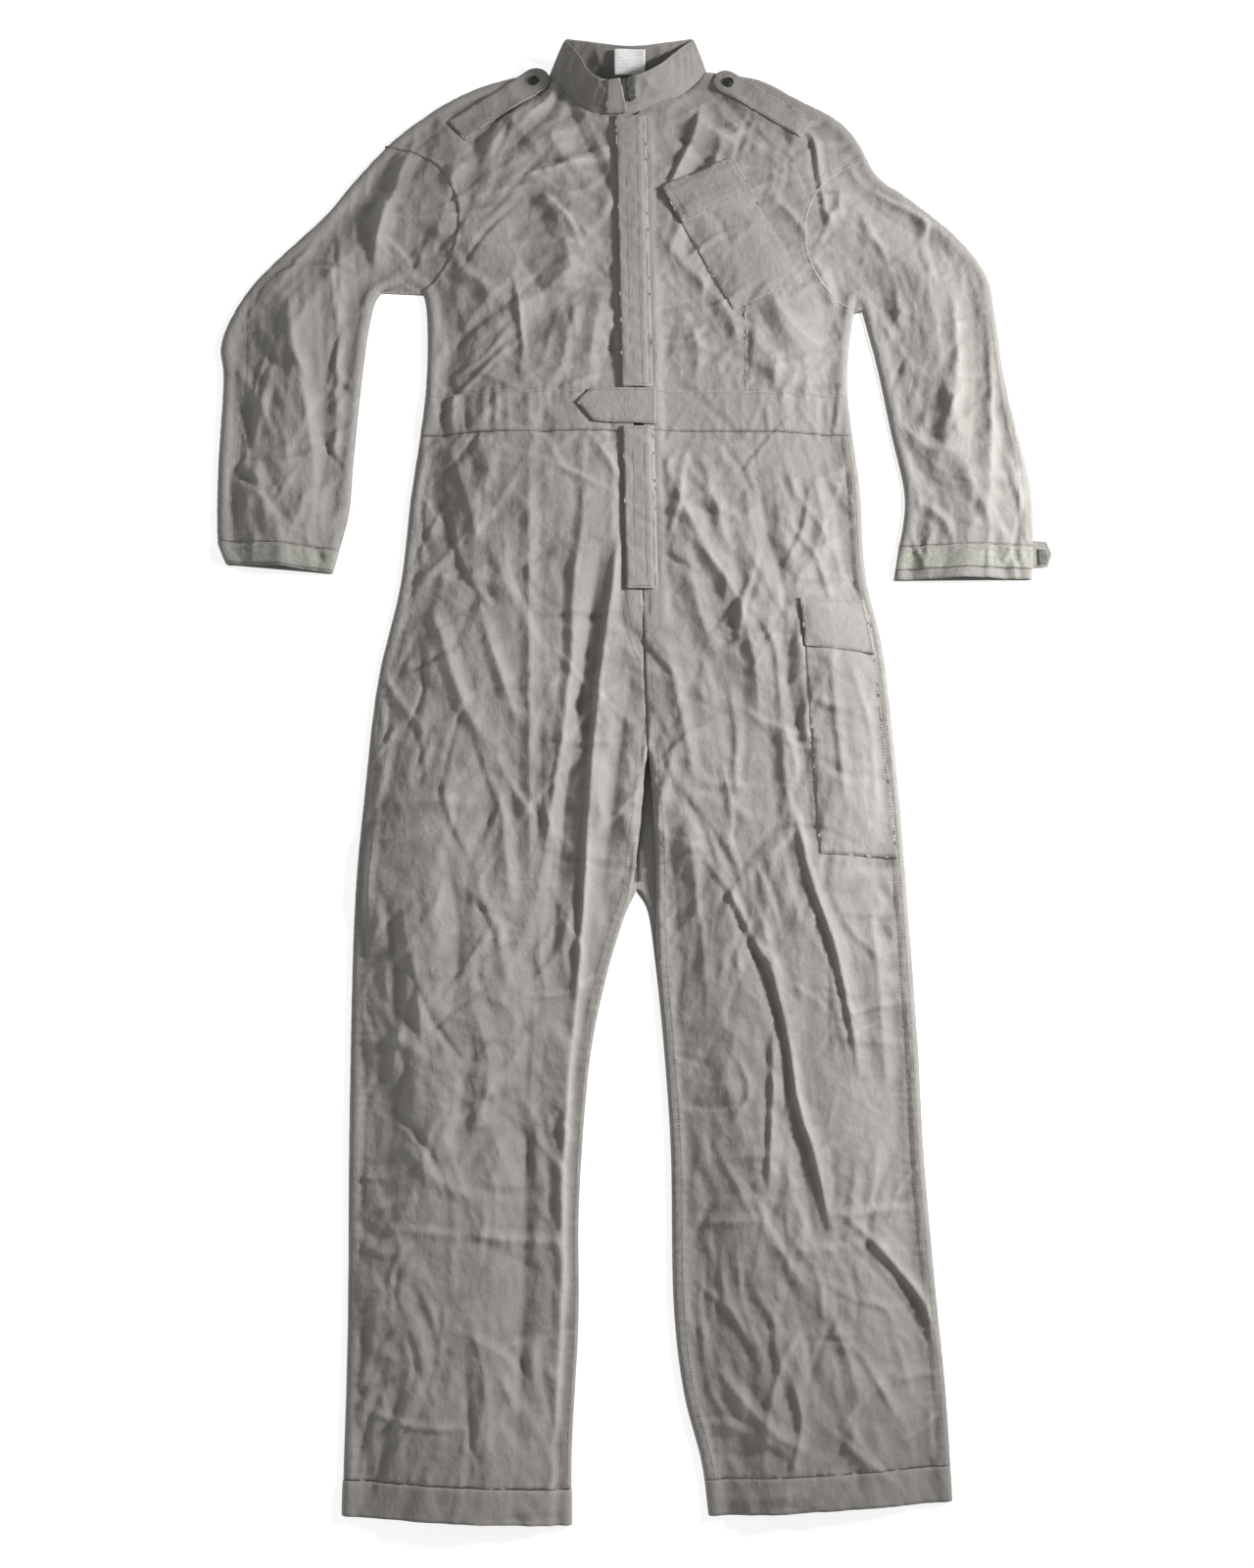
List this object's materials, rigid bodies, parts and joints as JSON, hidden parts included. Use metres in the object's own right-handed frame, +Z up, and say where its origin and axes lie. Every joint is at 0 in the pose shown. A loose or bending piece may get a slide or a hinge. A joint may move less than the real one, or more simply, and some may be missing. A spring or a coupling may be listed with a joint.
{
  "type": "beekeeping coverall suit",
  "caption": "One-piece cotton work coverall lying flat, with a stand collar, covered front zip, waist tab, shoulder straps, chest pocket, thigh cargo pocket and wrist tabs.",
  "frame": {"origin": "on the floor under the middle of the garment's box, as it lies flat on its back", "axes": "+Y from the hems to the neck, +Z up off the floor, +X to the wearer's left"},
  "size_m": [0.9387, 1.6377, 0.0569],
  "materials": {
    "cotton_twill": "matt woven cotton twill, washed, grey olive",
    "loop_tape": "napped loop side of touch fastener",
    "hook_tape": "moulded hook side of touch fastener",
    "zip_tape": "close woven polyester tape",
    "zip_metal": "dull antique brass",
    "snap_cap": "dark painted metal cap",
    "label_satin": "smooth white woven label"
  },
  "bodies": {
    "garment": {"back_bodice": "cotton_twill", "front_bodice_right": "cotton_twill", "front_bodice_left": "cotton_twill", "waistband_back": "cotton_twill", "waistband_front_right": "cotton_twill", "waistband_front_left": "cotton_twill", "trouser_front_right": "cotton_twill", "trouser_front_left": "cotton_twill", "trouser_back_right": "cotton_twill", "trouser_back_left": "cotton_twill", "hem_band_right": "cotton_twill", "hem_band_left": "cotton_twill", "collar_back": "cotton_twill", "collar_front_right": "cotton_twill", "collar_front_left": "cotton_twill", "collar_loop_patch": "loop_tape", "care_label": "label_satin", "zip_tape_right": "zip_tape", "zip_tape_left": "zip_tape", "zip_teeth_right": "zip_metal", "zip_teeth_left": "zip_metal", "zip_top_stop_right": "zip_metal", "zip_top_stop_left": "zip_metal", "zip_bottom_stop": "zip_metal", "storm_loop_upper": "loop_tape", "storm_loop_lower": "loop_tape", "waist_loop_patch": "loop_tape", "chest_pocket": "cotton_twill", "chest_pocket_loop": "loop_tape", "cargo_pocket": "cotton_twill", "cargo_pocket_loop": "loop_tape"},
    "slider": {"zip_slider": "zip_metal", "zip_pull": "zip_metal"},
    "storm_cover_upper": {"storm_flap_upper": "cotton_twill", "storm_hook_upper": "hook_tape"},
    "storm_cover_lower": {"storm_flap_lower": "cotton_twill", "storm_hook_lower": "hook_tape"},
    "waist_strap": {"waist_tab": "cotton_twill", "waist_tab_hook": "hook_tape"},
    "collar_strap": {"collar_tab": "cotton_twill", "collar_tab_hook": "hook_tape"},
    "chest_lid": {"chest_pocket_flap": "cotton_twill", "chest_flap_hook": "hook_tape"},
    "cargo_lid": {"cargo_pocket_flap": "cotton_twill", "cargo_flap_hook": "hook_tape"},
    "shoulder_strap_right": {"epaulette_right": "cotton_twill", "epaulette_snap_right": "snap_cap"},
    "shoulder_strap_left": {"epaulette_left": "cotton_twill", "epaulette_snap_left": "snap_cap"},
    "sleeve_right": {"sleeve_upper_right": "cotton_twill", "sleeve_under_right": "cotton_twill", "cuff_right": "cotton_twill", "cuff_loop_right": "loop_tape", "cuff_tab_right": "cotton_twill"},
    "sleeve_left": {"sleeve_upper_left": "cotton_twill", "sleeve_under_left": "cotton_twill", "cuff_left": "cotton_twill", "cuff_loop_left": "loop_tape"},
    "wrist_strap_left": {"cuff_tab_left": "cotton_twill", "cuff_hook_left": "hook_tape"}
  },
  "joints": [
    {"name": "zip_slide", "type": "slide", "parent": "garment", "child": "slider", "axis": [0.0219, -0.9998, 0], "range_m": [0, 0.545]},
    {"name": "storm_flap_upper_fold", "type": "hinge", "parent": "garment", "child": "storm_cover_upper", "pos_m": [0.01931, 0.5615, 0.0274], "axis": [-0.0219, 0.9998, 0], "range_deg": [0, 110]},
    {"name": "storm_flap_lower_fold", "type": "hinge", "parent": "garment", "child": "storm_cover_lower", "pos_m": [0.02607, 0.25275, 0.0274], "axis": [-0.0219, 0.9998, 0], "range_deg": [0, 150]},
    {"name": "waist_tab_fold", "type": "hinge", "parent": "garment", "child": "waist_strap", "pos_m": [0.027, 0.371, 0.0277], "axis": [0, 1, 0], "range_deg": [0, 150]},
    {"name": "collar_tab_fold", "type": "hinge", "parent": "garment", "child": "collar_strap", "pos_m": [-0.03, 0.733, 0.0265], "axis": [-0.0276, -0.6338, -0.773], "range_deg": [0, 100]},
    {"name": "chest_flap_fold", "type": "hinge", "parent": "garment", "child": "chest_lid", "pos_m": [0.0745, 0.6575, 0.0348], "axis": [-0.9051, -0.4253, 0], "range_deg": [0, 95]},
    {"name": "cargo_flap_fold", "type": "hinge", "parent": "garment", "child": "cargo_lid", "pos_m": [0.2175, 0.1487, 0.0348], "axis": [-1, 0, 0], "range_deg": [0, 110]},
    {"name": "epaulette_right_fold", "type": "hinge", "parent": "garment", "child": "shoulder_strap_right", "pos_m": [-0.2045, 0.715, 0.0257], "axis": [0.5982, -0.8014, 0], "range_deg": [0, 120]},
    {"name": "epaulette_left_fold", "type": "hinge", "parent": "garment", "child": "shoulder_strap_left", "pos_m": [0.204, 0.719, 0.0257], "axis": [0.5529, 0.8332, 0], "range_deg": [0, 120]},
    {"name": "sleeve_right_swing", "type": "hinge", "parent": "garment", "child": "sleeve_right", "pos_m": [-0.3, 0.6, 0.012], "axis": [0, 0, -1], "range_deg": [0, 25]},
    {"name": "sleeve_left_swing", "type": "hinge", "parent": "garment", "child": "sleeve_left", "pos_m": [0.3, 0.585, 0.012], "axis": [0, 0, 1], "range_deg": [0, 25]},
    {"name": "cuff_tab_left_fold", "type": "hinge", "parent": "sleeve_left", "child": "wrist_strap_left", "pos_m": [0.449, 0.205, 0.003], "axis": [0, -1, 0], "range_deg": [0, 105]}
  ]
}
